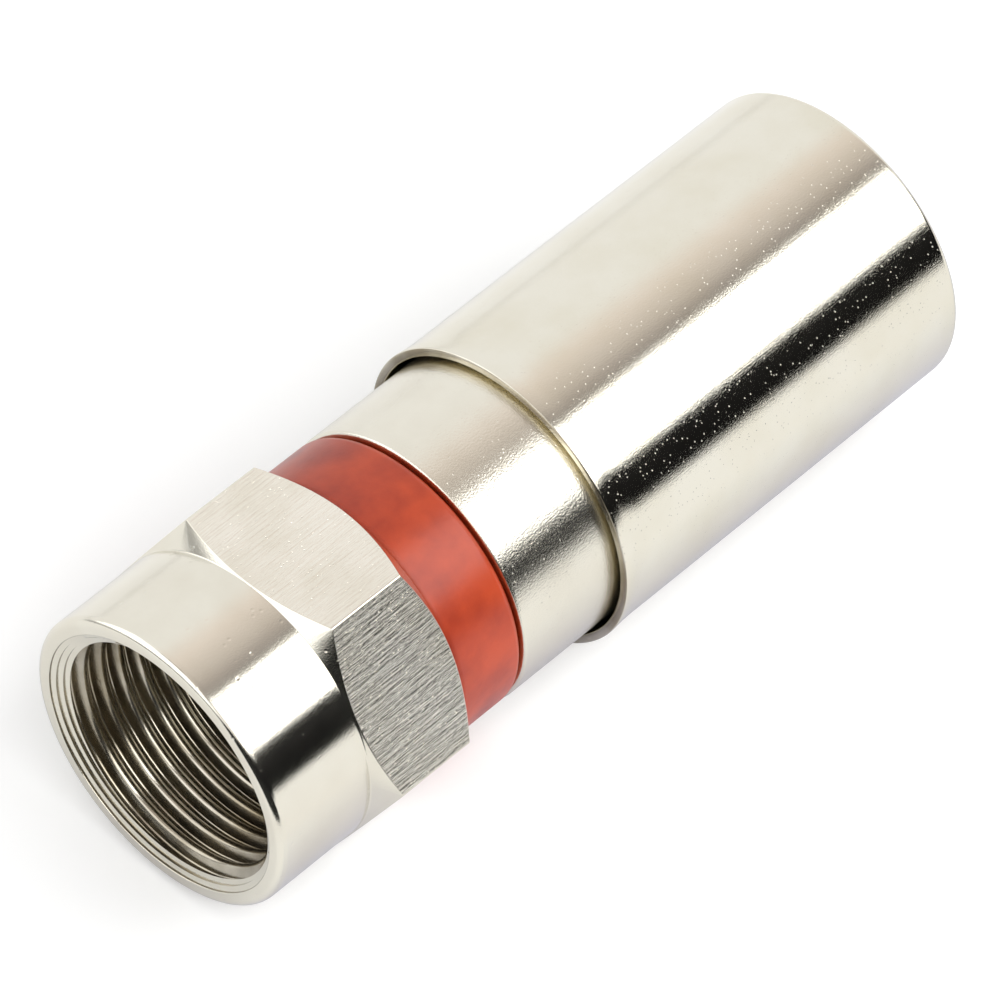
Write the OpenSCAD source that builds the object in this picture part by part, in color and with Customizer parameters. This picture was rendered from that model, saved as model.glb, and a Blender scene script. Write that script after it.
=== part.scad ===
// Compression F connector for RG6 coaxial cable, before it is crimped.
// It lies on its side along X: the threaded mouth faces -X and the cable enters from +X.
// The origin is on the axis, in the front face of the post, where a port's end face stops.
// All lengths are in millimetres.

/* [Cable] */
// Diameter of the cable's foil-covered dielectric, which goes into the post
dielectric_d = 4.7; // [4.5:0.05:4.8]
// Diameter of the cable's jacket, which goes through the ferrule
jacket_d = 7.0; // [6.8:0.05:7.1]

/* [Coupling nut] */
// Width across the flats of the hexagon, for a 7/16 inch spanner
nut_across_flats = 11.11; // [10.9:0.01:12]
// Outer diameter of the round collar in front of the hexagon
nut_collar_d = 11.0; // [10.4:0.01:11.1]
// Depth from the mouth of the nut to the front face of the post
nut_thread_depth = 5.9; // [5:0.1:8]
// Length of the hexagon, from its front shoulder to the back of the nut
nut_hex_length = 4.3; // [3.5:0.1:6]
// Thickness of the shoulder at the back that holds the nut on the post
nut_shoulder_t = 1.2; // [0.8:0.1:2]
// Minor diameter of the 3/8-32 thread, where the crests of the nut's thread lie
thread_minor_d = 8.73; // [8.6:0.01:8.8]
// Major diameter of the thread, where its roots lie
thread_major_d = 9.53; // [9.5:0.01:9.6]
// How much deeper than the roots the run-out groove behind the last turn is, on the radius
thread_relief = 0.085; // [0.02:0.005:0.15]
// How much wider than the roots the mouth is at the front face, on the radius
mouth_flare = 0.135; // [0.1:0.005:0.25]
// Depth of the tapered lead-in from the mouth to the thread
mouth_lead_in = 0.45; // [0.3:0.05:0.8]
// Radius of the rounded outer edge of the mouth
nut_rim_r = 0.28; // [0.1:0.01:0.4]
// Angle of the bevel on the front corners of the hexagon, from the end face
hex_front_bevel = 30; // [20:1:45]
// Angle of the bevel on the rear corners of the hexagon, from the end face
hex_rear_bevel = 38; // [20:1:45]

/* [Post] */
// Radial clearance between the cable's dielectric and the bore of the post
dielectric_clearance = 0.125; // [0.05:0.005:0.15]
// Radial clearance of the flange, which goes in through the nut's thread
flange_clearance = 0.165; // [0.1:0.005:0.3]
// Thickness of the flange
post_flange_t = 1.1; // [0.8:0.1:1.6]
// Bevel on the front edge of the flange
post_flange_bevel = 0.2; // [0.05:0.05:0.4]
// Wall of the shank that carries the nut and is pressed into the body
post_shank_wall = 0.825; // [0.7:0.005:0.95]
// Wall of the thin tail that goes under the cable's braid
post_tail_wall = 0.275; // [0.2:0.005:0.35]
// Length of the tail behind the shank
post_tail_length = 10.4; // [8:0.1:12]
// Height of the barbs above the tail
post_barb_height = 0.325; // [0.2:0.005:0.4]
// Number of barbs at the end of the tail
post_barb_count = 3; // [1:1:4]
// Length of each barb
post_barb_length = 1.25; // [0.8:0.05:1.6]

/* [Connector body] */
// Outer diameter of the body
body_d = 10.45; // [10.2:0.05:10.8]
// How far the neck that carries the sealing ring steps in from the body, on the radius
body_neck_step = 1.075; // [0.8:0.005:1.3]
// Length of the neck
body_neck_length = 3.0; // [2:0.1:4]
// Length of the body behind the neck
body_length = 12.4; // [11:0.1:14]
// Thickness of the front wall between the neck's shoulder and the cable space
body_wall_t = 1.2; // [0.8:0.1:2]
// Wall of the body's tube round the cable space
body_tube_wall = 0.725; // [0.6:0.005:0.85]
// Depth of the flared entry of the cable space
body_entry_length = 1.6; // [1:0.1:3]
// How far the flared entry widens, on the radius
body_entry_flare = 0.2; // [0.1:0.05:0.3]
// Rounding of the front edge of the body
body_edge_r = 0.12; // [0.05:0.01:0.3]

/* [Sealing ring] */
// How far the ring's surface lies inside the body's, on the radius
ring_setback = 0.025; // [0:0.005:0.2]
// Gap between the ring and the shoulder of the body behind it
ring_end_gap = 0.08; // [0.02:0.01:0.3]
// Rounding of the ring's two outer edges
ring_edge_r = 0.3; // [0.1:0.05:0.6]

/* [Compression sleeve] */
// Wall of the sleeve
sleeve_wall = 0.365; // [0.3:0.005:0.6]
// Length of the sleeve
sleeve_length = 16.3; // [15:0.1:18]
// Length of body left bare in front of the sleeve before it is crimped
sleeve_setback = 4.27; // [4.2:0.01:5]
// How far the lip at the front flares out from the sleeve, on the radius
lip_flare = 0.075; // [0:0.005:0.2]
// Wall of the lip at its front edge
lip_wall = 0.2; // [0.15:0.01:0.3]
// Length over which the sleeve flares out to the lip
lip_length = 0.8; // [0.4:0.1:1.5]
// Thickness of the inturned rim at the rear
rear_rim_t = 0.9; // [0.6:0.1:1.5]
// Radial clearance between the cable's jacket and the hole in the rear rim
rear_hole_clearance = 0.7; // [0.5:0.05:0.9]
// Rounding of the outer rear edge
rear_edge_r = 0.25; // [0.05:0.01:0.3]

/* [Grip ferrule] */
// Radial clearance between the cable's jacket and the ferrule before it is crimped
jacket_clearance = 0.35; // [0.2:0.05:0.45]
// Radial clearance between the ferrule's nose and the body before it is crimped
nose_clearance = 0.2; // [0.1:0.01:0.25]
// How far the nose reaches into the body before it is crimped
ferrule_engagement = 0.7; // [0.3:0.1:0.75]
// Bevel on the tip of the nose
ferrule_tip_bevel = 0.12; // [0.05:0.01:0.15]

/* [Fits and travel] */
// How far the sleeve slides forward when it is crimped
sleeve_travel = 4.0; // [3:0.1:4.1]
// Radial clearance between the nut's shoulder and the post
swivel_clearance = 0.06; // [0.02:0.01:0.1]
// Play of the nut along the axis, on each side of its shoulder
swivel_play = 0.1; // [0.05:0.01:0.2]
// Radial clearance between the sleeve and the body
slide_clearance = 0.06; // [0.02:0.01:0.1]
// Gap left at the end of the sleeve's travel
stop_clearance = 0.15; // [0.1:0.01:0.3]
// Radial gap between pieces that are seated on each other
seat_clearance = 0.03; // [0.01:0.01:0.05]

/* [Hidden] */

// Segments of a full turn, and the cut overlap that keeps faces from coinciding
round_fn = 96;
edge_fn = 32;
overrun = 1;

nickel = "#cfcabf";
nickel_dark = "#b9b3a6";
silicone_red = "#c8463a";
acetal = "#ebe7da";

// Stations along the axis, measured from the front face of the post
mouth_x = -nut_thread_depth;
shoulder_x = post_flange_t + swivel_play;
nut_rear_x = shoulder_x + nut_shoulder_t;
hex_front_x = nut_rear_x - nut_hex_length;
body_front_x = nut_rear_x + swivel_play;
body_edge_x = body_front_x + body_neck_length;
cavity_x = body_edge_x + body_wall_t;
body_rear_x = body_edge_x + body_length;
tail_end_x = cavity_x + post_tail_length;
sleeve_front_x = body_edge_x + sleeve_setback;
sleeve_rear_x = sleeve_front_x + sleeve_length;
rim_x = sleeve_rear_x - rear_rim_t;
ferrule_tip_x = body_rear_x - ferrule_engagement;
ferrule_step_x = body_rear_x + sleeve_travel + stop_clearance;
ferrule_rear_x = rim_x - seat_clearance;
ring_rear_x = body_edge_x - ring_end_gap;

// Radii of the nut
collar_r = nut_collar_d / 2;
hex_corner_r = nut_across_flats / 2 / cos(30);
hex_front_drop = (hex_corner_r - collar_r) * tan(hex_front_bevel);
hex_rear_drop = (hex_corner_r - collar_r) * tan(hex_rear_bevel);
thread_r = thread_minor_d / 2;
relief_r = thread_major_d / 2 + thread_relief;
mouth_r = thread_major_d / 2 + mouth_flare;

// Radii of the post
post_bore_r = dielectric_d / 2 + dielectric_clearance;
flange_r = thread_r - flange_clearance;
shank_r = post_bore_r + post_shank_wall;
tail_r = post_bore_r + post_tail_wall;
barb_r = tail_r + post_barb_height;
shoulder_bore_r = shank_r + swivel_clearance;

// Radii of the body and the ring
body_r = body_d / 2;
neck_r = body_r - body_neck_step;
cavity_r = body_r - body_tube_wall;
body_bore_r = shank_r + seat_clearance;
ring_bore_r = neck_r + seat_clearance;
ring_r = body_r - ring_setback;

// Radii of the sleeve and the ferrule
sleeve_bore_r = body_r + slide_clearance;
sleeve_r = sleeve_bore_r + sleeve_wall;
lip_r = sleeve_r + lip_flare;
rear_hole_r = jacket_d / 2 + rear_hole_clearance;
ferrule_bore_r = jacket_d / 2 + jacket_clearance;
ferrule_nose_r = cavity_r - nose_clearance;
ferrule_head_r = sleeve_bore_r - seat_clearance;

// Turns a profile of [radius, station] points round the X axis
module turned() {
    rotate([0, 90, 0]) rotate_extrude($fn = round_fn) children();
}

// A quarter of a disc, added to a profile as a rounded edge
module edge_disc(r, centre_radius, station) {
    translate([centre_radius, station]) circle(r = r, $fn = edge_fn);
}

// Profile of a plain tube between two stations
module tube_profile(inner_r, outer_r, from_x, to_x) {
    translate([inner_r, from_x]) square([outer_r - inner_r, to_x - from_x]);
}

// The outside of the nut: a round collar that runs through a hexagon with bevelled corners
module nut_outside() {
    turned() {
        tube_profile(0, collar_r - nut_rim_r, mouth_x, mouth_x + nut_rim_r);
        tube_profile(0, collar_r, mouth_x + nut_rim_r, nut_rear_x);
        edge_disc(nut_rim_r, collar_r - nut_rim_r, mouth_x + nut_rim_r);
    }
    intersection() {
        translate([hex_front_x, 0, 0]) rotate([0, 90, 0]) rotate([0, 0, 30])
            cylinder(r = hex_corner_r, h = nut_hex_length, $fn = 6);
        turned() polygon([
            [0, hex_front_x],
            [collar_r, hex_front_x],
            [hex_corner_r, hex_front_x + hex_front_drop],
            [hex_corner_r, nut_rear_x - hex_rear_drop],
            [collar_r, nut_rear_x],
            [0, nut_rear_x]
        ]);
    }
}

// Everything that is bored out of the nut: lead-in, thread core, run-out groove and shoulder bore
module nut_bore() {
    turned() polygon([
        [0, mouth_x - overrun],
        [mouth_r, mouth_x - overrun],
        [mouth_r, mouth_x],
        [thread_r, mouth_x + mouth_lead_in],
        [thread_r, 0],
        [relief_r, 0],
        [relief_r, shoulder_x],
        [shoulder_bore_r, shoulder_x],
        [shoulder_bore_r, nut_rear_x + overrun],
        [0, nut_rear_x + overrun]
    ]);
}

module coupling_nut() {
    color(nickel) difference() {
        nut_outside();
        nut_bore();
    }
}

// One barb: a cone that rises towards the nut and drops square at its front
module barb_profile(from_x) {
    polygon([
        [post_bore_r, from_x],
        [barb_r, from_x],
        [tail_r, from_x + post_barb_length],
        [post_bore_r, from_x + post_barb_length]
    ]);
}

module post() {
    color(nickel_dark) turned() {
        polygon([
            [post_bore_r, 0],
            [flange_r - post_flange_bevel, 0],
            [flange_r, post_flange_bevel],
            [flange_r, post_flange_t],
            [post_bore_r, post_flange_t]
        ]);
        tube_profile(post_bore_r, shank_r, post_flange_t, cavity_x);
        tube_profile(post_bore_r, tail_r, cavity_x, tail_end_x);
        for (i = [1 : post_barb_count])
            barb_profile(tail_end_x - i * post_barb_length);
    }
}

module connector_body() {
    entry_x = body_rear_x - body_entry_length;
    color(nickel) turned() {
        tube_profile(body_bore_r, neck_r, body_front_x, body_edge_x);
        tube_profile(body_bore_r, body_r - body_edge_r, body_edge_x, cavity_x);
        edge_disc(body_edge_r, body_r - body_edge_r, body_edge_x + body_edge_r);
        tube_profile(cavity_r, body_r, body_edge_x + body_edge_r, entry_x);
        polygon([
            [cavity_r, entry_x],
            [body_r, entry_x],
            [body_r, body_rear_x],
            [cavity_r + body_entry_flare, body_rear_x]
        ]);
    }
}

module sealing_ring() {
    core_r = ring_r - ring_edge_r;
    color(silicone_red) turned() {
        tube_profile(ring_bore_r, core_r, body_front_x, ring_rear_x);
        tube_profile(ring_bore_r, ring_r, body_front_x + ring_edge_r, ring_rear_x - ring_edge_r);
        edge_disc(ring_edge_r, core_r, body_front_x + ring_edge_r);
        edge_disc(ring_edge_r, core_r, ring_rear_x - ring_edge_r);
    }
}

module compression_sleeve() {
    color(nickel) turned() {
        polygon([
            [lip_r - lip_wall, sleeve_front_x],
            [lip_r, sleeve_front_x],
            [sleeve_r, sleeve_front_x + lip_length],
            [sleeve_r, sleeve_rear_x - rear_edge_r],
            [sleeve_r - rear_edge_r, sleeve_rear_x],
            [rear_hole_r, sleeve_rear_x],
            [rear_hole_r, rim_x],
            [sleeve_bore_r, rim_x],
            [sleeve_bore_r, sleeve_front_x + lip_length]
        ]);
        edge_disc(rear_edge_r, sleeve_r - rear_edge_r, sleeve_rear_x - rear_edge_r);
    }
}

module grip_ferrule() {
    color(acetal) turned() polygon([
        [ferrule_bore_r, ferrule_tip_x],
        [ferrule_nose_r - ferrule_tip_bevel, ferrule_tip_x],
        [ferrule_nose_r, ferrule_tip_x + ferrule_tip_bevel],
        [ferrule_nose_r, ferrule_step_x],
        [ferrule_head_r, ferrule_step_x],
        [ferrule_head_r, ferrule_rear_x],
        [ferrule_bore_r, ferrule_rear_x]
    ]);
}

coupling_nut();
post();
connector_body();
sealing_ring();
compression_sleeve();
grip_ferrule();
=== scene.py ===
"""Compression F connector for RG6 coaxial cable, dressed round its CAD frame.

Six turned and moulded pieces lie along X: the coupling nut with its 3/8-32 thread, the
post, the connector body, the silicone sealing ring, the compression sleeve and the grip
ferrule. Lengths in the classes are in millimetres, and the meshes are in metres.
"""

import logging
import math
from dataclasses import dataclass
from enum import Enum
from typing import Any, Callable, Sequence

import bmesh
import bpy
from mathutils import Matrix, Vector


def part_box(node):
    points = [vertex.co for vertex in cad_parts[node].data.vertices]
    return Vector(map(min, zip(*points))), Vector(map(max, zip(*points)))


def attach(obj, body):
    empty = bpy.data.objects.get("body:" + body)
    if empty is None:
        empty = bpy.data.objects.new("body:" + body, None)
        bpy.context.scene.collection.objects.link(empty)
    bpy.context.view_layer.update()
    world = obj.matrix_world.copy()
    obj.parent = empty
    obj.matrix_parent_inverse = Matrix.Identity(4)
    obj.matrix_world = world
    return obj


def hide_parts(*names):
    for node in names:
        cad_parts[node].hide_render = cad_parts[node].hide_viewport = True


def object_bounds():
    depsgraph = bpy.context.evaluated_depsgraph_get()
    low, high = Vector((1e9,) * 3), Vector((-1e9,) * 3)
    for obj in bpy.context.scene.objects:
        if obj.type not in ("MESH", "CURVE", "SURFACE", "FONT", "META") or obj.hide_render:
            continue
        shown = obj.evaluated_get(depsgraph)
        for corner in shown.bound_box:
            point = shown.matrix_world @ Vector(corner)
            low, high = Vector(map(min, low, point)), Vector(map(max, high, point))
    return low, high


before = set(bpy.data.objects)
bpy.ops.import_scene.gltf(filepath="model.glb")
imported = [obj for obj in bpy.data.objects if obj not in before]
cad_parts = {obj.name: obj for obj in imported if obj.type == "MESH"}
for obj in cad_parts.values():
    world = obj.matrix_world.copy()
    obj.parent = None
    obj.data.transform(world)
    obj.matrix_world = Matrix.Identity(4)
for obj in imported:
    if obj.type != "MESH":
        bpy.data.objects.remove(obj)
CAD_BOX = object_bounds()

logging.basicConfig(level=logging.INFO, format="%(levelname)s %(message)s")
LOG = logging.getLogger("f_connector")

# One millimetre in metres
MM = 0.001
# Edges in a ring round the axis
ROUND_STEPS = 144
# How near in millimetres a corner has to be to a place to count as there
TOUCH = 0.002
NEAR = 0.01
# How far in millimetres a cutting solid reaches past the piece it cuts
OVERSHOOT = 1.0
# Least part of a normal along the axis for an end face, and most for a flat and a wall
END_ON = 0.999
SIDE_ON = 0.05
WALL_LEAN = 0.3
# How strongly large faces lead the shading of rounded edges, in per cent
FACE_SHARE = 80
# Sizes in millimetres of the clouds of stain on plate and on mouldings
PLATE_CLOUD = 2.2
POLYMER_CLOUD = 1.6

Corner = tuple[float, float]
Piece = bpy.types.Object


class Cut(Enum):
    """How one solid acts on another."""

    TAKE_AWAY = "DIFFERENCE"
    KEEP_SHARED = "INTERSECT"


class Arc(Enum):
    """How many steps a rounded edge gets."""

    PLAIN = 2
    GOOD = 3
    FINE = 4
    FINEST = 6


class Body(Enum):
    """The three bodies that move against each other."""

    BARREL = "barrel"
    NUT = "nut"
    SLEEVE = "sleeve"


@dataclass(frozen=True)
class Facing:
    """Where a face is and which way it points."""

    center: Vector
    normal: Vector


def is_wall(face: Facing) -> bool:
    """Whether a face stands along the axis rather than across it."""
    return abs(face.normal.x) < WALL_LEAN


# ------------------------------------------------------------- modelling by operators


def clear_selection() -> None:
    """Leave object mode and deselect every object."""
    if bpy.context.object and bpy.context.object.mode != "OBJECT":
        bpy.ops.object.mode_set(mode="OBJECT")
    bpy.ops.object.select_all(action="DESELECT")


def pick(piece: Piece) -> None:
    """Make one object the only selected and active one."""
    clear_selection()
    piece.select_set(True)
    bpy.context.view_layer.objects.active = piece


def edit(piece: Piece, select_mode: str = "EDGE") -> None:
    """Open a piece in edit mode with nothing selected.

    Args:
        piece: The object to edit.
        select_mode: VERT, EDGE or FACE.
    """
    pick(piece)
    bpy.ops.object.mode_set(mode="EDIT")
    bpy.ops.mesh.select_mode(type=select_mode)
    bpy.ops.mesh.select_all(action="DESELECT")


def select_edges(piece: Piece, wanted: Callable[[bmesh.types.BMEdge], bool]) -> None:
    """Select only the edges of the edited piece that pass a test.

    Args:
        piece: The object in edit mode.
        wanted: The test for one edge.
    """
    bpy.ops.mesh.select_all(action="DESELECT")
    mesh = bmesh.from_edit_mesh(piece.data)
    for edge in mesh.edges:
        if wanted(edge):
            edge.select_set(True)
    bmesh.update_edit_mesh(piece.data)


def round_edges(
    piece: Piece, wanted: Callable[[bmesh.types.BMEdge], bool], width: float, arc: Arc
) -> None:
    """Round the edges of the edited piece that pass a test.

    Args:
        piece: The object in edit mode.
        wanted: The test for one edge.
        width: How far from the edge the rounding starts.
        arc: How many steps it gets.
    """
    select_edges(piece, wanted)
    bpy.ops.mesh.bevel(
        offset=width * MM, segments=arc.value, affect="EDGES", clamp_overlap=False
    )


def station_of(point: Vector) -> float:
    """Distance along the axis, in millimetres."""
    return point.x / MM


def radius_of(point: Vector) -> float:
    """Distance from the axis, in millimetres."""
    return math.hypot(point.y, point.z) / MM


def on_ring(station: float, radius: float) -> Callable[[bmesh.types.BMEdge], bool]:
    """Give a test for the edges that lie on one ring round the axis.

    Args:
        station: Place of the ring along the axis.
        radius: Radius of the ring.

    Returns:
        The test for one edge.
    """

    def test(edge: bmesh.types.BMEdge) -> bool:
        """Whether both ends of the edge are on the ring."""
        return all(
            abs(station_of(v.co) - station) < TOUCH
            and abs(radius_of(v.co) - radius) < TOUCH
            for v in edge.verts
        )

    return test


def add_ring(name: str, corner: Corner) -> Piece:
    """Draw one ring of edges round the axis.

    Args:
        name: Name of the new object.
        corner: Station and radius of the ring.

    Returns:
        The new object.
    """
    clear_selection()
    station, radius = corner
    bpy.ops.mesh.primitive_circle_add(
        vertices=ROUND_STEPS,
        radius=radius * MM,
        location=(station * MM, 0, 0),
        rotation=(0, math.radians(90), 0),
    )
    ring = bpy.context.object
    ring.name = ring.data.name = name
    bpy.ops.object.transform_apply(location=True, rotation=True, scale=True)
    return ring


def turn(
    name: str,
    outline: Sequence[Corner],
    solid: bool = False,
    rounded: Sequence[tuple[Corner, float, Arc]] = (),
) -> Piece:
    """Turn an outline about the axis by drawing a ring and extruding it on.

    Args:
        name: Name of the new object.
        outline: Stations and radii of the corners, in order.
        solid: Whether the two ends are closed with flat faces. Otherwise the last ring
            is joined to the first, which makes a tube.
        rounded: Corners to round, each with its width and number of steps.

    Returns:
        The finished object.
    """
    piece = add_ring(name, outline[0])
    edit(piece)
    bpy.ops.mesh.select_all(action="SELECT")
    for (old_x, old_r), (new_x, new_r) in zip(outline, outline[1:]):
        bpy.ops.mesh.extrude_edges_move(
            TRANSFORM_OT_translate={"value": ((new_x - old_x) * MM, 0, 0)}
        )
        if new_r != old_r:
            grow = new_r / old_r
            bpy.ops.transform.resize(
                value=(1, grow, grow), center_override=(new_x * MM, 0, 0)
            )
    if solid:
        for corner in (outline[0], outline[-1]):
            select_edges(piece, on_ring(*corner))
            bpy.ops.mesh.edge_face_add()
    else:
        select_edges(piece, lambda edge: edge.is_boundary)
        bpy.ops.mesh.bridge_edge_loops()
    bpy.ops.mesh.select_all(action="SELECT")
    bpy.ops.mesh.normals_make_consistent(inside=False)
    for corner, width, arc in rounded:
        round_edges(piece, on_ring(*corner), width, arc)
    bpy.ops.object.mode_set(mode="OBJECT")
    return piece


def draw_chain(name: str, corners: Sequence[Corner]) -> Piece:
    """Draw a chain of edges above the axis, one corner after the other.

    Args:
        name: Name of the new object.
        corners: Stations and radii of the corners.

    Returns:
        The new object.
    """
    clear_selection()
    bpy.ops.mesh.primitive_plane_add(size=MM)
    chain = bpy.context.object
    chain.name = chain.data.name = name
    edit(chain, "VERT")
    bpy.ops.mesh.select_all(action="SELECT")
    bpy.ops.mesh.merge(type="CENTER")
    bpy.ops.transform.translate(value=(corners[0][0] * MM, 0, corners[0][1] * MM))
    for (old_x, old_r), (new_x, new_r) in zip(corners, corners[1:]):
        bpy.ops.mesh.extrude_vertices_move(
            TRANSFORM_OT_translate={
                "value": ((new_x - old_x) * MM, 0, (new_r - old_r) * MM)
            }
        )
    bpy.ops.object.mode_set(mode="OBJECT")
    return chain


def combine(piece: Piece, tool: Piece, how: Cut) -> None:
    """Cut or trim a piece with another solid, which is used up.

    Args:
        piece: The piece that is kept.
        tool: The solid that acts on it.
        how: What happens between the two.
    """
    pick(piece)
    modifier = piece.modifiers.new(how.name.lower(), "BOOLEAN")
    modifier.operation = how.value
    modifier.solver = "EXACT"
    modifier.object = tool
    bpy.ops.object.modifier_apply(modifier=modifier.name)
    bpy.data.objects.remove(tool)


def smooth(piece: Piece, angle: float = 32.0) -> None:
    """Shade a piece smooth across small angles and keep its flat faces flat.

    Args:
        piece: The piece to shade.
        angle: Edges sharper than this many degrees stay sharp.
    """
    pick(piece)
    bpy.ops.object.shade_smooth_by_angle(angle=math.radians(angle))
    modifier = piece.modifiers.new("weighted", "WEIGHTED_NORMAL")
    modifier.keep_sharp = True
    modifier.weight = FACE_SHARE
    bpy.ops.object.modifier_apply(modifier=modifier.name)


# ------------------------------------------------------------- finishes


def linear(colour: str) -> tuple[float, float, float, float]:
    """Turn an sRGB hex colour to linear RGBA.

    Args:
        colour: Colour such as "#e8e4d7".

    Returns:
        The linear red, green, blue and alpha.
    """

    def channel(text: str) -> float:
        """Linear value of one channel's two hex digits."""
        value = int(text, 16) / 255
        return value / 12.92 if value <= 0.04045 else ((value + 0.055) / 1.055) ** 2.4

    return (channel(colour[1:3]), channel(colour[3:5]), channel(colour[5:7]), 1.0)


def per_metre(size_mm: float) -> float:
    """Pattern scale for features of a size in millimetres."""
    return 1 / (size_mm * MM)


def add_node(
    tree: bpy.types.NodeTree,
    kind: str,
    settings: dict[str, Any] | None = None,
    inputs: dict[str | int, Any] | None = None,
) -> bpy.types.Node:
    """Add a shader node with its settings and links.

    Args:
        tree: The node tree.
        kind: The node's type.
        settings: Values of the node's own properties.
        inputs: For each input socket, a value or the output socket that feeds it.

    Returns:
        The new node.
    """
    made = tree.nodes.new(kind)
    for key, value in (settings or {}).items():
        setattr(made, key, value)
    for key, value in (inputs or {}).items():
        if isinstance(value, bpy.types.NodeSocket):
            tree.links.new(value, made.inputs[key])
        else:
            made.inputs[key].default_value = value
    return made


def set_ramp(ramp: bpy.types.Node, stops: Sequence[tuple[float, Any]]) -> None:
    """Give a colour ramp its stops.

    Args:
        ramp: The Color Ramp node.
        stops: Positions with a hex colour or a grey level each.
    """
    elements = ramp.color_ramp.elements
    while len(elements) > 1:
        elements.remove(elements[-1])
    for i, (place, value) in enumerate(stops):
        stop = elements[0] if i == 0 else elements.new(place)
        stop.position = place
        stop.color = linear(value) if isinstance(value, str) else (value,) * 3 + (1,)


def new_material(name: str) -> tuple[bpy.types.Material, bpy.types.NodeTree]:
    """Make an empty node material.

    Args:
        name: Name of the material.

    Returns:
        The material and its node tree.
    """
    material = bpy.data.materials.new(name)
    material.use_nodes = True
    material.node_tree.nodes.clear()
    return material, material.node_tree


class Grain(Enum):
    """How the tool marks' pattern is squeezed along each axis."""

    ROUND = (1.0, 0.02, 0.02)
    ALONG = (0.02, 1.0, 1.0)
    DASHED = (0.07, 1.0, 1.0)


@dataclass(frozen=True)
class PlatedBrass:
    """Nickel or tin on turned brass: a warm mirror with fine grain and a few pits."""

    name: str
    colour: str
    worn_colour: str
    roughness: float
    rough_spread: float
    grain_mm: float
    grain_height: float
    marks: Grain
    marks_mm: float
    marks_height: float
    pit_every_mm: float
    pit_height: float

    def material(self) -> bpy.types.Material:
        """Build the node material.

        Returns:
            The material.
        """
        material, tree = new_material(self.name)
        place = add_node(tree, "ShaderNodeTexCoord").outputs["Object"]
        stretch = self.marks.value
        cloud = add_node(
            tree,
            "ShaderNodeTexNoise",
            inputs={"Vector": place, "Scale": per_metre(PLATE_CLOUD), "Detail": 5.0},
        ).outputs["Fac"]
        grain = add_node(
            tree,
            "ShaderNodeTexNoise",
            inputs={
                "Vector": place,
                "Scale": per_metre(self.grain_mm),
                "Detail": 3.0,
                "Roughness": 0.6,
            },
        ).outputs["Fac"]
        long = add_node(
            tree, "ShaderNodeMapping", inputs={"Vector": place, "Scale": stretch}
        ).outputs["Vector"]
        marks = add_node(
            tree,
            "ShaderNodeTexNoise",
            inputs={
                "Vector": long,
                "Scale": per_metre(self.marks_mm),
                "Detail": 4.0,
                "Roughness": 0.65,
            },
        ).outputs["Fac"]
        spots = add_node(
            tree,
            "ShaderNodeTexVoronoi",
            inputs={
                "Vector": place,
                "Scale": per_metre(self.pit_every_mm),
                "Randomness": 1.0,
            },
        ).outputs["Distance"]
        pits = add_node(
            tree,
            "ShaderNodeMapRange",
            inputs={
                "Value": spots,
                "From Min": 0.04,
                "From Max": 0.15,
                "To Min": 0.0,
                "To Max": 1.0,
            },
        ).outputs["Result"]
        tint = add_node(tree, "ShaderNodeValToRGB", inputs={"Fac": cloud})
        set_ramp(tint, [(0.3, self.worn_colour), (0.62, self.colour)])
        gloss = add_node(
            tree,
            "ShaderNodeMapRange",
            inputs={
                "Value": cloud,
                "From Min": 0.3,
                "From Max": 0.7,
                "To Min": self.roughness + self.rough_spread,
                "To Max": self.roughness,
            },
        ).outputs["Result"]
        relief: dict[str | int, Any] = {}
        for height, depth in (
            (grain, self.grain_height),
            (marks, self.marks_height),
            (pits, self.pit_height),
        ):
            bump = add_node(
                tree,
                "ShaderNodeBump",
                inputs={
                    "Height": height,
                    "Strength": 1.0,
                    "Distance": depth * MM,
                    **relief,
                },
            )
            relief["Normal"] = bump.outputs["Normal"]
        shader = add_node(
            tree,
            "ShaderNodeBsdfPrincipled",
            inputs={
                "Base Color": tint.outputs["Color"],
                "Metallic": 1.0,
                "Roughness": gloss,
                **relief,
            },
        )
        add_node(
            tree,
            "ShaderNodeOutputMaterial",
            inputs={"Surface": shader.outputs["BSDF"]},
        )
        return material


@dataclass(frozen=True)
class MouldedPolymer:
    """Moulded silicone or acetal: a soft satin surface with clouded colour."""

    name: str
    colour: str
    shade_colour: str
    roughness: float
    grain_mm: float
    grain_height: float
    subsurface: float

    def material(self) -> bpy.types.Material:
        """Build the node material.

        Returns:
            The material.
        """
        material, tree = new_material(self.name)
        place = add_node(tree, "ShaderNodeTexCoord").outputs["Object"]
        cloud = add_node(
            tree,
            "ShaderNodeTexNoise",
            inputs={"Vector": place, "Scale": per_metre(POLYMER_CLOUD), "Detail": 6.0},
        ).outputs["Fac"]
        grain = add_node(
            tree,
            "ShaderNodeTexNoise",
            inputs={
                "Vector": place,
                "Scale": per_metre(self.grain_mm),
                "Detail": 3.0,
            },
        ).outputs["Fac"]
        tint = add_node(tree, "ShaderNodeValToRGB", inputs={"Fac": cloud})
        set_ramp(tint, [(0.3, self.shade_colour), (0.6, self.colour)])
        bump = add_node(
            tree,
            "ShaderNodeBump",
            inputs={
                "Height": grain,
                "Strength": 1.0,
                "Distance": self.grain_height * MM,
            },
        )
        shader = add_node(
            tree,
            "ShaderNodeBsdfPrincipled",
            inputs={
                "Base Color": tint.outputs["Color"],
                "Roughness": self.roughness,
                "Subsurface Weight": self.subsurface,
                "Subsurface Radius": (0.6 * MM, 0.25 * MM, 0.2 * MM),
                "Subsurface Scale": 1.0,
                "Normal": bump.outputs["Normal"],
            },
        )
        add_node(
            tree,
            "ShaderNodeOutputMaterial",
            inputs={"Surface": shader.outputs["BSDF"]},
        )
        return material


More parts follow.
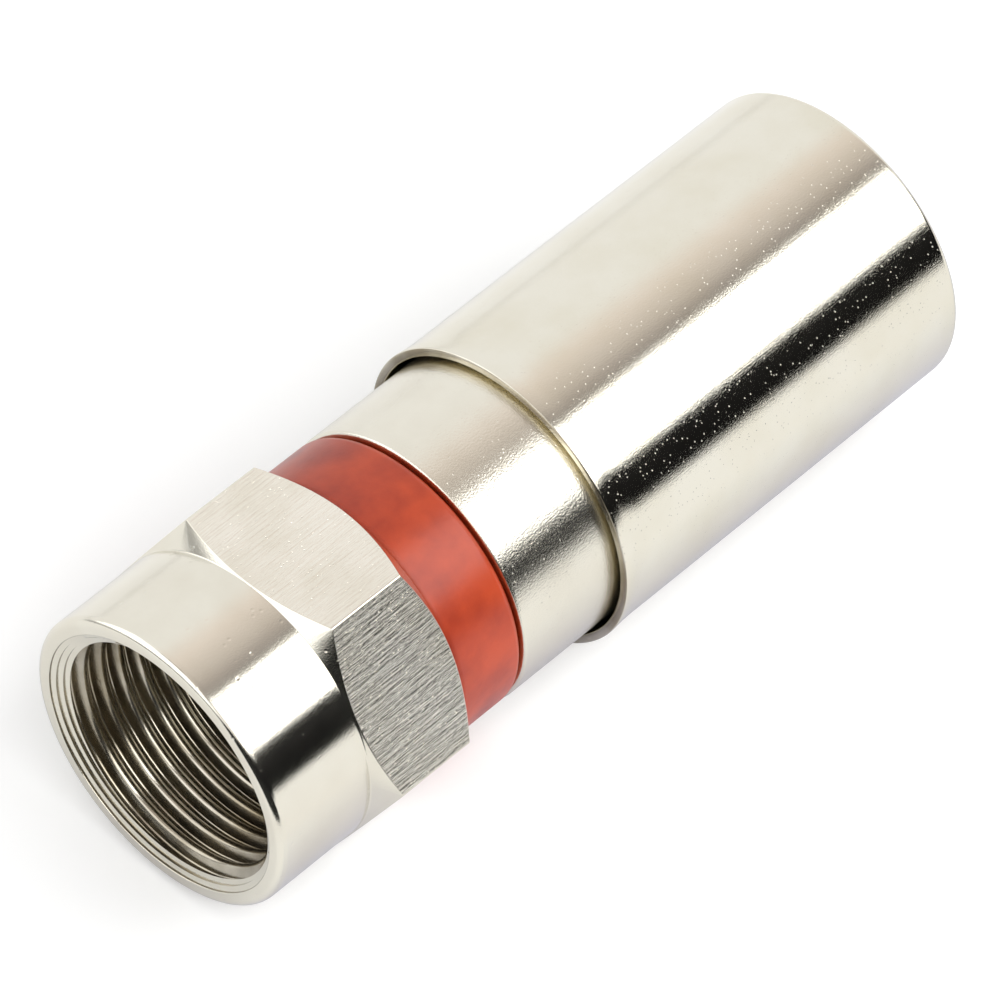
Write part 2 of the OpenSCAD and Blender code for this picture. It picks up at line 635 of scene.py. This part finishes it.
# After its two colours, a plated finish gives its roughness and how much that varies,
# then the size and height in millimetres of its grain, its tool marks and its pits.
# Real grain and tool marks are some hundredths of a millimetre wide or less, and are
# drawn as coarse as they need to show.

# Bright nickel over a drawn brass tube: a warm mirror peppered with fine pits
DRAWN_TUBE_NICKEL = PlatedBrass(
    "nickel_plate_on_drawn_tube", "#e8e4d7", "#e3dece", 0.07, 0.03,
    0.055, 0.0036, Grain.ALONG, 0.05, 0.0012, 0.17, 0.0065,
)
# Bright nickel over turned brass: the same mirror, softened by the tool's fine grain
TURNED_NICKEL = PlatedBrass(
    "nickel_plate_turned", "#e8e4d7", "#e2ddcf", 0.1, 0.04,
    0.06, 0.0024, Grain.ROUND, 0.06, 0.0008, 0.5, 0.005,
)
# The same plate over the body's turned rim, which is left rougher by the tool
ROUGH_TURNED_NICKEL = PlatedBrass(
    "nickel_plate_rough_turned", "#e8e4d7", "#e2ddcf", 0.17, 0.04,
    0.07, 0.009, Grain.ROUND, 0.06, 0.001, 0.24, 0.006,
)
# The same plate over hexagonal bar stock: drawing lines and scale marks on the flats
DRAWN_BAR_NICKEL = PlatedBrass(
    "nickel_plate_on_drawn_bar", "#f1ede2", "#e6e1d3", 0.17, 0.05,
    0.1, 0.006, Grain.DASHED, 0.1, 0.019, 0.2, 0.014,
)
# The same plate, duller and with clouded stains, and darkened all over as painted shade:
# it goes in the tapped thread's recess and on the sleeve's front face in the gap
PAINTED_SHADE_NICKEL = PlatedBrass(
    "nickel_plate_painted_shade", "#c2bcae", "#918772", 0.16, 0.06,
    0.1, 0.002, Grain.ROUND, 0.05, 0.0008, 0.9, 0.003,
)
# Satin tin over turned brass: greyer and duller than nickel
TURNED_TIN = PlatedBrass(
    "tin_plate_turned", "#d2cdc2", "#c2bcae", 0.3, 0.06,
    0.12, 0.001, Grain.ROUND, 0.08, 0.001, 1.0, 0.003,
)
# Moulded silicone rubber: a soft satin red that lets a little light in
MOULDED_SILICONE = MouldedPolymer(
    "silicone_moulded", "#b8431f", "#962e16", 0.3, 0.09, 0.003, 0.25
)
# Moulded natural acetal: a waxy off-white
MOULDED_ACETAL = MouldedPolymer(
    "acetal_moulded", "#ebe7da", "#e2ddce", 0.42, 0.12, 0.002, 0.3
)


def dress(
    piece: Piece,
    finish: PlatedBrass | MouldedPolymer,
    *others: tuple[PlatedBrass | MouldedPolymer, Callable[[Facing], bool]],
) -> None:
    """Give a piece its finish, and some of its faces another.

    Args:
        piece: The piece.
        finish: The finish of the whole piece.
        others: Further finishes, each with a test for the faces that take it.
    """
    piece.data.materials.clear()
    for each in (finish, *(other for other, _ in others)):
        made = bpy.data.materials.get(each.name) or each.material()
        piece.data.materials.append(made)
    for number, (_, wanted) in enumerate(others, start=1):
        edit(piece, "FACE")
        mesh = bmesh.from_edit_mesh(piece.data)
        for face in mesh.faces:
            if wanted(Facing(face.calc_center_median(), face.normal.copy())):
                face.select_set(True)
        bmesh.update_edit_mesh(piece.data)
        piece.active_material_index = number
        bpy.ops.object.material_slot_assign()
        bpy.ops.object.mode_set(mode="OBJECT")


def seat(piece: Piece, body: Body, node: str) -> None:
    """Put a piece in place of its CAD node.

    Args:
        piece: The finished piece.
        body: The body it moves with.
        node: The CAD node it stands for.
    """
    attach(piece, body.value)
    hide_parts(node)
    LOG.info(
        "%s: %d faces on %s", piece.name, len(piece.data.polygons), body.value
    )


# ------------------------------------------------------------- the connector's pieces


def reach(node: str) -> tuple[float, float]:
    """Ends of a CAD node along the axis, in millimetres."""
    low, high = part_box(node)
    return low.x / MM, high.x / MM


@dataclass
class CouplingNut:
    """The nut: a round collar that runs through a hexagon, tapped 3/8-32."""

    across_flats: float = 11.11
    collar_d: float = 11.0
    hex_length: float = 4.3
    rim_r: float = 0.28
    front_bevel: float = 30.0
    rear_bevel: float = 38.0
    corner_r: float = 0.06
    edge_r: float = 0.018
    edge_clear: float = 0.03
    fillet: float = 0.043
    mouth_r: float = 4.9
    mouth_edge_r: float = 0.04
    lead_in: float = 0.43
    lead_in_rings: int = 3
    crest_r: float = 4.365
    root_r: float = 4.765
    crest_round: float = 0.18
    pitch: float = 0.79375
    first_crest: float = 0.556
    groove_r: float = 4.85
    shoulder_t: float = 1.2
    shoulder_bore_r: float = 3.36
    ring_wall: float = 0.6
    spare: float = 0.3
    burr_angle: float = 20.0
    flank_turn: int = 60
    arc_step: int = 15
    tool_turns: int = 10
    tool_steps: int = 96
    weld: float = 0.0005

    def blank(self, front: float, rear: float) -> Piece:
        """Model the solid blank: the bevelled hexagon and the collar drawn out of it.

        Args:
            front: Station of the mouth.
            rear: Station of the back of the nut.

        Returns:
            The solid blank.
        """
        hex_front = rear - self.hex_length
        corner_r = self.across_flats / 2 / math.cos(math.radians(30))
        collar_r = self.collar_d / 2
        length = self.hex_length + 2 * self.spare
        clear_selection()
        bpy.ops.mesh.primitive_cylinder_add(
            vertices=6,
            radius=corner_r * MM,
            depth=length * MM,
            location=((hex_front + rear) / 2 * MM, 0, 0),
            rotation=(0, math.radians(90), 0),
        )
        blank = bpy.context.object
        blank.name = blank.data.name = "coupling_nut_dressed"
        bpy.ops.object.transform_apply(location=True, rotation=True, scale=True)
        edit(blank)
        round_edges(
            blank,
            lambda e: abs((e.verts[0].co - e.verts[1].co).x) > length * MM / 2,
            self.corner_r,
            Arc.FINE,
        )
        bpy.ops.object.mode_set(mode="OBJECT")
        wide = corner_r + 2 * self.spare
        rise = wide - collar_r
        cones = turn(
            "bevel_cones",
            [
                (hex_front, collar_r),
                (hex_front + rise * math.tan(math.radians(self.front_bevel)), wide),
                (rear - rise * math.tan(math.radians(self.rear_bevel)), wide),
                (rear, collar_r),
            ],
            solid=True,
        )
        combine(blank, cones, Cut.KEEP_SHARED)
        edit(blank, "FACE")
        mesh = bmesh.from_edit_mesh(blank.data)
        for face in mesh.faces:
            face.select_set(face.normal.x < -END_ON)
        bmesh.update_edit_mesh(blank.data)
        bpy.ops.mesh.extrude_region_move(
            TRANSFORM_OT_translate={"value": ((front - hex_front) * MM, 0, 0)}
        )
        bpy.ops.mesh.select_mode(type="EDGE")
        round_edges(blank, on_ring(front, collar_r), self.rim_r, Arc.FINEST)
        round_edges(blank, on_ring(hex_front, collar_r), self.fillet, Arc.FINE)
        bpy.ops.object.mode_set(mode="OBJECT")
        return blank

    def thread_outline(self) -> list[Corner]:
        """Outline of one turn of the thread, from root to root.

        Returns:
            Distances along the axis from the middle of the crest, and radii.
        """
        crest = self.crest_round
        height = self.pitch * math.cos(math.radians(30))
        root = height - (self.root_r - self.crest_r) - crest
        outline = []
        for angle in range(0, self.flank_turn + 1, self.arc_step):
            turned = math.radians(angle)
            outline.append(
                (
                    -self.pitch / 2 + root * math.sin(turned),
                    self.root_r - root * (1 - math.cos(turned)),
                )
            )
        for angle in range(-self.flank_turn, 1, self.arc_step):
            turned = math.radians(angle)
            outline.append(
                (
                    crest * math.sin(turned),
                    self.crest_r + crest * (1 - math.cos(turned)),
                )
            )
        return outline + [(-x, r) for x, r in reversed(outline[:-1])]

    def thread_tool(self, front: float) -> Piece:
        """Model the threaded rod that cuts the thread.

        Args:
            front: Station of the mouth.

        Returns:
            The closed rod.
        """
        lowest = front + self.first_crest - 2 * self.pitch
        rod = draw_chain(
            "thread_tool", [(lowest + x, r) for x, r in self.thread_outline()]
        )
        modifier = rod.modifiers.new("helix", "SCREW")
        modifier.axis = "X"
        modifier.screw_offset = self.pitch * MM
        modifier.iterations = self.tool_turns
        modifier.steps = modifier.render_steps = self.tool_steps
        bpy.ops.object.modifier_apply(modifier=modifier.name)
        edit(rod)
        bpy.ops.mesh.select_all(action="SELECT")
        bpy.ops.mesh.remove_doubles(threshold=self.weld * MM)
        for station, way in (
            (front - OVERSHOOT / 2, -1),
            (self.shoulder_t / 2, 1),
        ):
            bpy.ops.mesh.select_all(action="SELECT")
            bpy.ops.mesh.bisect(
                plane_co=(station * MM, 0, 0),
                plane_no=(way, 0, 0),
                use_fill=True,
                clear_outer=True,
                threshold=0,
            )
        bpy.ops.mesh.select_all(action="SELECT")
        bpy.ops.mesh.normals_make_consistent(inside=False)
        bpy.ops.object.mode_set(mode="OBJECT")
        return rod

    def build(self) -> Piece:
        """Model the nut.

        Returns:
            The finished nut.
        """
        front, rear = reach("coupling_nut")
        hex_front = rear - self.hex_length
        nut = self.blank(front, rear)
        shoulder = rear - self.shoulder_t
        step = self.lead_in / self.lead_in_rings
        drop = (self.mouth_r - self.crest_r) / self.lead_in_rings
        rings = [(front - OVERSHOOT, self.mouth_r)]
        for i in range(self.lead_in_rings + 1):
            at, radius = front + i * step, self.mouth_r - i * drop
            rings += [
                (at + self.ring_wall * step, radius),
                (at + step, radius - drop),
            ]
        lead_in = turn("lead_in_tool", rings, solid=True)
        bore = turn(
            "bore_tool",
            [
                (0, self.groove_r),
                (shoulder, self.groove_r),
                (shoulder, self.shoulder_bore_r),
                (rear + OVERSHOOT, self.shoulder_bore_r),
            ],
            solid=True,
        )
        combine(nut, lead_in, Cut.TAKE_AWAY)
        edit(nut)
        round_edges(nut, on_ring(front, self.mouth_r), self.mouth_edge_r, Arc.GOOD)
        bpy.ops.object.mode_set(mode="OBJECT")
        combine(nut, bore, Cut.TAKE_AWAY)
        combine(nut, self.thread_tool(front), Cut.TAKE_AWAY)
        beyond = self.collar_d / 2 + self.edge_clear
        edit(nut)
        round_edges(
            nut,
            lambda e: min(radius_of(v.co) for v in e.verts) > beyond
            and e.calc_face_angle(0) > math.radians(self.burr_angle),
            self.edge_r,
            Arc.GOOD,
        )
        bpy.ops.object.mode_set(mode="OBJECT")
        smooth(nut)
        flat = self.across_flats / 2 * MM
        dress(
            nut,
            TURNED_NICKEL,
            (
                DRAWN_BAR_NICKEL,
                lambda f: f.center.x > hex_front * MM
                and abs(f.normal.x) < SIDE_ON
                and abs(f.normal.dot(f.center) - flat) < NEAR * MM,
            ),
            # Painted shade: the thread and the lead-in's walls inside the bore take the
            # darkened plate
            (
                PAINTED_SHADE_NICKEL,
                lambda f: front * MM < f.center.x < shoulder * MM
                and radius_of(f.center) < self.mouth_r + NEAR
                and (f.center.x > (front + self.lead_in) * MM or is_wall(f)),
            ),
        )
        seat(nut, Body.NUT, "coupling_nut")
        return nut


@dataclass
class Post:
    """The tin-plated post that carries the nut and goes under the cable's braid."""

    bore_r: float = 2.475
    flange_r: float = 4.2
    flange_t: float = 1.1
    shank_r: float = 3.3
    shank_end: float = 6.7
    tail_r: float = 2.75
    barb_r: float = 3.075
    barb_length: float = 1.25
    barb_count: int = 3
    flange_edge_r: float = 0.2
    flange_back_r: float = 0.06
    bore_edge_r: float = 0.12

    def build(self) -> Piece:
        """Model the post.

        Returns:
            The finished post.
        """
        front, rear = reach("post")
        outline = [
            (front, self.bore_r),
            (front, self.flange_r),
            (front + self.flange_t, self.flange_r),
            (front + self.flange_t, self.shank_r),
            (self.shank_end, self.shank_r),
            (self.shank_end, self.tail_r),
        ]
        for i in range(self.barb_count, 0, -1):
            start = rear - i * self.barb_length
            outline += [(start, self.tail_r), (start, self.barb_r)]
        outline += [(rear, self.tail_r), (rear, self.bore_r)]
        post = turn(
            "post_dressed",
            outline,
            rounded=[
                ((front, self.flange_r), self.flange_edge_r, Arc.FINE),
                ((front, self.bore_r), self.bore_edge_r, Arc.GOOD),
                (
                    (front + self.flange_t, self.flange_r),
                    self.flange_back_r,
                    Arc.PLAIN,
                ),
            ],
        )
        smooth(post)
        dress(post, TURNED_TIN)
        seat(post, Body.BARREL, "post")
        return post


@dataclass
class ConnectorBody:
    """The nickel-plated tube that the sleeve slides on."""

    bore_r: float = 3.33
    neck_r: float = 4.15
    neck_length: float = 3.0
    body_r: float = 5.225
    wall_end: float = 6.7
    space_r: float = 4.5
    entry_length: float = 1.6
    entry_r: float = 4.7
    edge_r: float = 0.12
    rear_edge_r: float = 0.08

    def build(self) -> Piece:
        """Model the body.

        Returns:
            The finished body.
        """
        front, rear = reach("connector_body")
        shoulder = front + self.neck_length
        body = turn(
            "connector_body_dressed",
            [
                (front, self.bore_r),
                (front, self.neck_r),
                (shoulder, self.neck_r),
                (shoulder, self.body_r),
                (rear, self.body_r),
                (rear, self.entry_r),
                (rear - self.entry_length, self.space_r),
                (self.wall_end, self.space_r),
                (self.wall_end, self.bore_r),
            ],
            rounded=[
                ((shoulder, self.body_r), self.edge_r, Arc.FINE),
                ((rear, self.body_r), self.rear_edge_r, Arc.GOOD),
                ((rear, self.entry_r), self.rear_edge_r, Arc.GOOD),
            ],
        )
        smooth(body)
        dress(body, ROUGH_TURNED_NICKEL)
        seat(body, Body.BARREL, "connector_body")
        return body


@dataclass
class SealingRing:
    """The red silicone ring between the nut and the body."""

    bore_r: float = 4.18
    outer_r: float = 5.2
    edge_r: float = 0.3

    def build(self) -> Piece:
        """Model the ring.

        Returns:
            The finished ring.
        """
        front, rear = reach("sealing_ring")
        ring = turn(
            "sealing_ring_dressed",
            [
                (front, self.bore_r),
                (front, self.outer_r),
                (rear, self.outer_r),
                (rear, self.bore_r),
            ],
            rounded=[
                ((front, self.outer_r), self.edge_r, Arc.FINEST),
                ((rear, self.outer_r), self.edge_r, Arc.FINEST),
            ],
        )
        smooth(ring)
        dress(ring, MOULDED_SILICONE)
        seat(ring, Body.BARREL, "sealing_ring")
        return ring


@dataclass
class CompressionSleeve:
    """The sleeve that is pushed forward to grip the cable."""

    outer_r: float = 5.65
    bore_r: float = 5.285
    lip_r: float = 5.725
    lip_wall: float = 0.32
    lip_length: float = 0.8
    lip_edge_r: float = 0.09
    lip_inner_edge_r: float = 0.06
    lip_blend_r: float = 0.3
    rim_t: float = 0.9
    rim_hole_r: float = 4.2
    rim_hole_edge_r: float = 0.15
    rear_edge_r: float = 0.25
    # Least lean towards the front for the lip's faces that take painted shade
    painted_shade_lean: float = 0.7

    def build(self) -> Piece:
        """Model the sleeve.

        Returns:
            The finished sleeve.
        """
        front, rear = reach("compression_sleeve")
        sleeve = turn(
            "compression_sleeve_dressed",
            [
                (front, self.lip_r - self.lip_wall),
                (front, self.lip_r),
                (front + self.lip_length, self.outer_r),
                (rear, self.outer_r),
                (rear, self.rim_hole_r),
                (rear - self.rim_t, self.rim_hole_r),
                (rear - self.rim_t, self.bore_r),
                (front + self.lip_length, self.bore_r),
            ],
            rounded=[
                ((front, self.lip_r), self.lip_edge_r, Arc.FINE),
                (
                    (front, self.lip_r - self.lip_wall),
                    self.lip_inner_edge_r,
                    Arc.FINE,
                ),
                (
                    (front + self.lip_length, self.outer_r),
                    self.lip_blend_r,
                    Arc.FINE,
                ),
                ((rear, self.outer_r), self.rear_edge_r, Arc.FINEST),
                ((rear, self.rim_hole_r), self.rim_hole_edge_r, Arc.FINE),
            ],
        )
        smooth(sleeve)
        dress(
            sleeve,
            DRAWN_TUBE_NICKEL,
            # Painted shade: the lip's front face, in the gap before the ring, takes the
            # darkened plate
            (
                PAINTED_SHADE_NICKEL,
                lambda f: f.normal.x < -self.painted_shade_lean
                and f.center.x < (front + self.lip_length) * MM,
            ),
        )
        seat(sleeve, Body.SLEEVE, "compression_sleeve")
        return sleeve


@dataclass
class GripFerrule:
    """The acetal ferrule in the sleeve, which is squeezed onto the cable's jacket."""

    bore_r: float = 3.85
    nose_r: float = 4.3
    head_r: float = 5.255
    step: float = 22.05
    nose_edge_r: float = 0.12
    bore_edge_r: float = 0.2
    head_edge_r: float = 0.1

    def build(self) -> Piece:
        """Model the ferrule.

        Returns:
            The finished ferrule.
        """
        front, rear = reach("grip_ferrule")
        ferrule = turn(
            "grip_ferrule_dressed",
            [
                (front, self.bore_r),
                (front, self.nose_r),
                (self.step, self.nose_r),
                (self.step, self.head_r),
                (rear, self.head_r),
                (rear, self.bore_r),
            ],
            rounded=[
                ((front, self.nose_r), self.nose_edge_r, Arc.GOOD),
                ((rear, self.bore_r), self.bore_edge_r, Arc.FINE),
                ((rear, self.head_r), self.head_edge_r, Arc.GOOD),
            ],
        )
        smooth(ferrule)
        dress(ferrule, MOULDED_ACETAL)
        seat(ferrule, Body.SLEEVE, "grip_ferrule")
        return ferrule


# ------------------------------------------------------------- the studio


def pose(thing: bpy.types.Object, right: Vector, up: Vector, at: Vector) -> None:
    """Put a light or the camera at a point, turned to two of its own axes.

    Args:
        thing: The light or camera.
        right: Its own X axis.
        up: Its own Y axis.
        at: Its place in metres.
    """
    turned = Matrix((right, up, right.cross(up))).transposed()
    thing.matrix_world = Matrix.Translation(at) @ turned.to_4x4()


@dataclass
class Studio:
    """Pale floor with painted shade in reflections, one soft box, the cards in the mirror,
    the camera.

    Lengths are in metres here, and angles in degrees round the axis from straight up.
    """

    floor_size: float = 6.0
    floor_gap: float = 0.00002
    floor_paint: str = "#f6f6f6"
    floor_glow: float = 0.2
    # Where the floor's painted shade near the object, seen only by glossy rays, fades out
    # to the side and in front of the mouth
    painted_shade_from_side: float = 0.0045
    painted_shade_to_side: float = 0.015
    painted_shade_from_front: float = -0.005
    painted_shade_to_front: float = -0.009
    soft_box_from: float = 18.0
    soft_box_to: float = 64.0
    soft_box_away: float = 1.0
    soft_box_length: float = 2.6
    soft_box_behind: float = 0.2
    soft_box_white: float = 2.0
    room_light: float = 0.62
    card_front: float = -1.5
    card_back: float = 2.5
    grey_card_from: float = -32.0
    grey_card_overlap: float = 1.0
    black_card_at: float = 0.115
    black_card_top: float = 0.064
    white_card_ends: tuple[Corner, Corner] = ((-0.6, -0.05), (-0.15, 0.55))
    white_card_heights: tuple[float, float] = (0.012, 0.5)
    white_card_glow: float = 1.7
    dark_strip_edges: tuple[Corner, Corner] = ((-0.52, 0.69), (-0.44, 0.76))
    dark_strip_sides: tuple[float, float] = (0.1, 0.9)
    dark_strip_grey: float = 0.3
    low_cards: tuple[Corner, ...] = (
        (-0.02, 0.062), (-0.051, 0.036), (-0.062, 0.0), (-0.05, -0.04), (-0.02, -0.075),
    )
    low_card_foot: float = -0.002
    low_card_top: float = 0.007
    low_card_slope: float = 0.35
    low_card_lift: float = 0.0002
    mirror_bounces: int = 8
    lens_mm: float = 298.4
    camera_at: tuple[float, float, float] = (-0.12166, -0.11697, 0.20443)
    camera_right: tuple[float, float, float] = (0.68607, -0.72709, 0.02539)
    camera_up: tuple[float, float, float] = (0.54023, 0.53251, 0.6516)

    def side_of(self, angle: float, away: float) -> Vector:
        """Point at an angle round the axis, from straight up towards -Y.

        Args:
            angle: Degrees from straight up.
            away: Distance from the axis in metres.

        Returns:
            The point in the YZ plane.
        """
        turned = math.radians(angle)
        return Vector((0, -math.sin(turned) * away, math.cos(turned) * away))

    def light_room(self) -> None:
        """Set up the world: white to see, and a plain level of light elsewhere."""
        world = bpy.data.worlds.new("studio_room")
        bpy.context.scene.world = world
        world.use_nodes = True
        tree = world.node_tree
        tree.nodes.clear()
        path = add_node(tree, "ShaderNodeLightPath")
        seen = path.outputs["Is Camera Ray"]
        for name in ("Is Glossy Ray", "Is Transmission Ray"):
            seen = add_node(
                tree,
                "ShaderNodeMath",
                settings={"operation": "MAXIMUM"},
                inputs={0: seen, 1: path.outputs[name]},
            ).outputs[0]
        level = add_node(
            tree,
            "ShaderNodeMapRange",
            inputs={"Value": seen, "To Min": self.room_light, "To Max": 1.0},
        ).outputs["Result"]
        background = add_node(
            tree,
            "ShaderNodeBackground",
            inputs={"Color": (1, 1, 1, 1), "Strength": level},
        )
        add_node(
            tree,
            "ShaderNodeOutputWorld",
            inputs={"Surface": background.outputs["Background"]},
        )

    def lay_floor(self, height: float) -> None:
        """Lay the pale floor, with painted shade near the object that only glossy rays
        see.

        Args:
            height: Height of the floor in metres.
        """
        clear_selection()
        bpy.ops.mesh.primitive_grid_add(
            x_subdivisions=8,
            y_subdivisions=8,
            size=self.floor_size,
            location=(0, 0, height),
        )
        floor = bpy.context.object
        floor.name = "floor"
        bpy.ops.object.transform_apply(location=True, rotation=True, scale=True)
        material, tree = new_material("painted_board_floor")
        path = add_node(tree, "ShaderNodeLightPath")
        place = add_node(tree, "ShaderNodeTexCoord").outputs["Object"]
        axes = add_node(tree, "ShaderNodeSeparateXYZ", inputs={0: place})
        aside = add_node(
            tree,
            "ShaderNodeMath",
            settings={"operation": "ABSOLUTE"},
            inputs={0: axes.outputs["Y"]},
        )
        near = add_node(
            tree,
            "ShaderNodeMapRange",
            inputs={
                "Value": aside.outputs[0],
                "From Min": self.painted_shade_from_side,
                "From Max": self.painted_shade_to_side,
            },
        )
        ahead = add_node(
            tree,
            "ShaderNodeMapRange",
            inputs={
                "Value": axes.outputs["X"],
                "From Min": self.painted_shade_from_front,
                "From Max": self.painted_shade_to_front,
            },
        )
        clear = add_node(
            tree,
            "ShaderNodeMath",
            settings={"operation": "MAXIMUM"},
            inputs={0: near.outputs["Result"], 1: ahead.outputs["Result"]},
        )
        # Painted shade: glossy rays see the floor greyer and bluer near the object, fading
        # to the plain paint away from it
        painted_shade_tone = add_node(
            tree, "ShaderNodeValToRGB", inputs={"Fac": clear.outputs[0]}
        )
        set_ramp(
            painted_shade_tone,
            [
                (0.0, "#cdcdd8"), (0.3, "#e0e0e5"),
                (0.6, "#eeeff1"), (1.0, self.floor_paint),
            ],
        )
        level = add_node(
            tree,
            "ShaderNodeMix",
            settings={"data_type": "RGBA"},
            inputs={
                0: path.outputs["Is Glossy Ray"],
                6: linear(self.floor_paint),
                7: painted_shade_tone.outputs["Color"],
            },
        )
        paint = add_node(
            tree, "ShaderNodeBsdfDiffuse", inputs={"Color": level.outputs[2]}
        )
        lift = add_node(
            tree,
            "ShaderNodeMath",
            settings={"operation": "MULTIPLY"},
            inputs={0: path.outputs["Is Camera Ray"], 1: self.floor_glow},
        )
        glow = add_node(
            tree,
            "ShaderNodeEmission",
            inputs={"Color": (1, 1, 1, 1), "Strength": lift.outputs[0]},
        )
        both = add_node(
            tree,
            "ShaderNodeAddShader",
            inputs={0: paint.outputs[0], 1: glow.outputs[0]},
        )
        add_node(
            tree, "ShaderNodeOutputMaterial", inputs={"Surface": both.outputs[0]}
        )
        floor.data.materials.append(material)

    def hang_soft_box(self) -> None:
        """Hang the soft box along the object, on the camera's side."""
        middle = (self.soft_box_from + self.soft_box_to) / 2
        half = math.radians((self.soft_box_to - self.soft_box_from) / 2)
        height = 2 * self.soft_box_away * math.tan(half)
        length = self.soft_box_length
        data = bpy.data.lights.new("soft_box", "AREA")
        data.shape = "RECTANGLE"
        data.size = length
        data.size_y = height
        data.energy = self.soft_box_white * math.pi * length * height
        box = bpy.data.objects.new("soft_box", data)
        bpy.context.scene.collection.objects.link(box)
        behind = Vector((self.soft_box_behind, 0, 0))
        pose(
            box,
            Vector((1, 0, 0)),
            self.side_of(middle, 1.0).cross(Vector((1, 0, 0))),
            self.side_of(middle, self.soft_box_away) + behind,
        )

    def put_up_card(
        self,
        name: str,
        corners: Sequence[Vector],
        stops: Sequence[tuple[float, Any]],
        strength: float = 1.0,
    ) -> None:
        """Put up a card that only shows in glossy surfaces.

        Args:
            name: Name of the card.
            corners: The two ends of its lower edge, then of its upper edge.
            stops: Colours or levels of grey across the card, from lower to upper edge.
            strength: How bright the card's colours are.
        """
        clear_selection()
        bpy.ops.mesh.primitive_plane_add(size=2)
        card = bpy.context.object
        card.name = name
        for vertex, point in zip(card.data.vertices, corners):
            vertex.co = point
        low = (corners[0] + corners[1]) / 2
        span = (corners[2] + corners[3]) / 2 - low
        span = span / span.length_squared
        material, tree = new_material(name)
        place = add_node(tree, "ShaderNodeTexCoord").outputs["Object"]
        across = add_node(
            tree,
            "ShaderNodeVectorMath",
            settings={"operation": "DOT_PRODUCT"},
            inputs={0: place, 1: tuple(span)},
        ).outputs["Value"]
        fac = add_node(
            tree,
            "ShaderNodeMath",
            settings={"operation": "SUBTRACT"},
            inputs={0: across, 1: low.dot(span)},
        )
        ramp = add_node(tree, "ShaderNodeValToRGB", inputs={"Fac": fac.outputs[0]})
        set_ramp(ramp, stops)
        glow = add_node(
            tree,
            "ShaderNodeEmission",
            inputs={"Color": ramp.outputs["Color"], "Strength": strength},
        )
        add_node(
            tree, "ShaderNodeOutputMaterial", inputs={"Surface": glow.outputs[0]}
        )
        card.data.materials.append(material)
        card.visible_camera = False
        card.visible_diffuse = False
        card.visible_shadow = False
        card.visible_transmission = False

    def put_up_cards(self, floor_z: float) -> None:
        """Put up the grey card overhead, the black card, and the cards at the mouth.

        Args:
            floor_z: Height of the floor in metres.
        """
        left, right = Vector((self.card_front, 0, 0)), Vector((self.card_back, 0, 0))
        from_y = self.side_of(self.grey_card_from, 1.0)
        to_y = self.side_of(self.soft_box_from + self.grey_card_overlap, 1.0)
        self.put_up_card(
            "grey_card",
            (from_y + left, from_y + right, to_y + left, to_y + right),
            [
                (0.0, "#ffffff"), (0.3, "#f6ece6"), (0.65, "#d3cac4"),
                (0.85, "#a8a19e"), (1.0, "#969490"),
            ],
        )
        foot = Vector((0, -self.black_card_at, floor_z))
        top = Vector((0, -self.black_card_at, self.black_card_top))
        self.put_up_card(
            "black_card",
            (foot + left, foot + right, top + left, top + right),
            [(0.0, 0.008), (1.0, 0.012)],
        )
        self.put_up_card(
            "white_card",
            [
                Vector((x, y, z))
                for z in self.white_card_heights
                for x, y in self.white_card_ends
            ],
            [(0.0, 1.0), (1.0, 1.0)],
            strength=self.white_card_glow,
        )
        self.put_up_card(
            "dark_strip",
            [
                Vector((x, y, z))
                for x, z in self.dark_strip_edges
                for y in self.dark_strip_sides
            ],
            [(0.0, self.dark_strip_grey), (1.0, self.dark_strip_grey)],
        )
        upright = (1.0, self.low_card_foot)
        sloped = (self.low_card_slope, floor_z + self.low_card_lift)
        pale, black = [(0.0, 0.25), (1.0, 0.7)], [(0.0, 0.03), (1.0, 0.01)]
        for i, (start, end, foot, greys) in enumerate(
            zip(
                self.low_cards,
                self.low_cards[1:],
                (upright, upright, sloped, sloped),
                (pale, black, black, black),
            )
        ):
            self.put_up_card(
                f"low_black_card_{i}",
                [
                    Vector((x * share, y * share, z))
                    for share, z in (foot, (1.0, self.low_card_top))
                    for x, y in (start, end)
                ],
                greys,
            )

    def aim_camera(self) -> None:
        """Set up the camera."""
        data = bpy.data.cameras.new("camera")
        data.lens = self.lens_mm
        data.sensor_width = 36.0
        data.clip_start = 0.01
        data.clip_end = 50.0
        camera = bpy.data.objects.new("camera", data)
        bpy.context.scene.collection.objects.link(camera)
        pose(
            camera,
            Vector(self.camera_right).normalized(),
            Vector(self.camera_up).normalized(),
            Vector(self.camera_at),
        )
        bpy.context.scene.camera = camera

    def build(self) -> None:
        """Set up the whole studio."""
        floor_z = CAD_BOX[0][2] - self.floor_gap
        self.light_room()
        self.lay_floor(floor_z)
        self.hang_soft_box()
        self.put_up_cards(floor_z)
        self.aim_camera()
        view = bpy.context.scene.view_settings
        view.view_transform = "Standard"
        bpy.context.scene.cycles.glossy_bounces = self.mirror_bounces
        LOG.info("studio ready, floor at %.3f mm", floor_z / MM)


def main() -> None:
    """Build the studio and the six pieces in order."""
    Studio().build()
    for part in (
        Post(),
        ConnectorBody(),
        SealingRing(),
        CouplingNut(),
        CompressionSleeve(),
        GripFerrule(),
    ):
        part.build()


if __name__ == "__main__":
    main()
